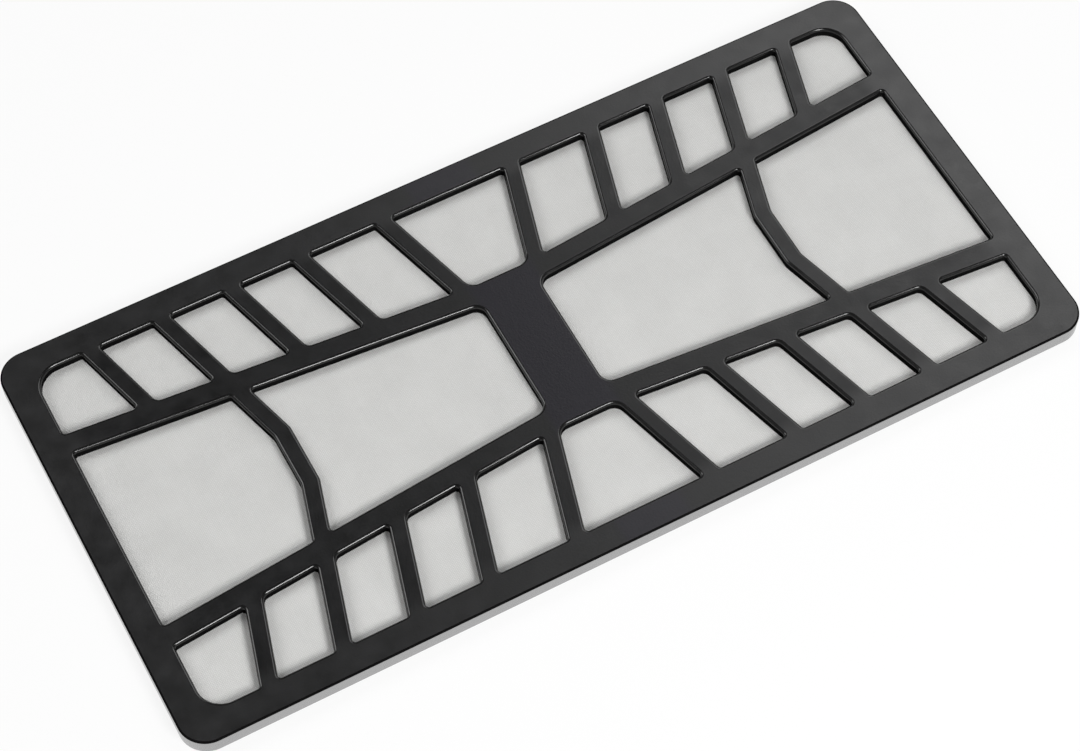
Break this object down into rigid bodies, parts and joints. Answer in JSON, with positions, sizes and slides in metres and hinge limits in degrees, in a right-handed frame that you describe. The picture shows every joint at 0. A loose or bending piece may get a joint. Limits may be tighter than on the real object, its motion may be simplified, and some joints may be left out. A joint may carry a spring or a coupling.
{
  "type": "fan dust filter",
  "caption": "Flat rectangular dust filter for a pair of fans: a moulded frame of ribs over fine mesh, held by magnet strips at the back.",
  "frame": {"origin": "centre of the rear face, in the plane that lies on the fan side or on the case", "axes": "+X along the filter's length, +Y across its width, +Z out of the finished face"},
  "size_m": [0.258, 0.124, 0.0048],
  "materials": {
    "frame": "black moulded plastic with a fine grain on its finished face and smoother walls",
    "mesh": "fine woven mesh of light grey synthetic thread",
    "magnet": "dark flexible magnet strip, matt"
  },
  "bodies": {
    "root": {"frame": "frame", "filter_mesh": "mesh", "magnet_strip_front": "magnet", "magnet_strip_back": "magnet", "magnet_strip_left": "magnet", "magnet_strip_right": "magnet"}
  },
  "joints": []
}
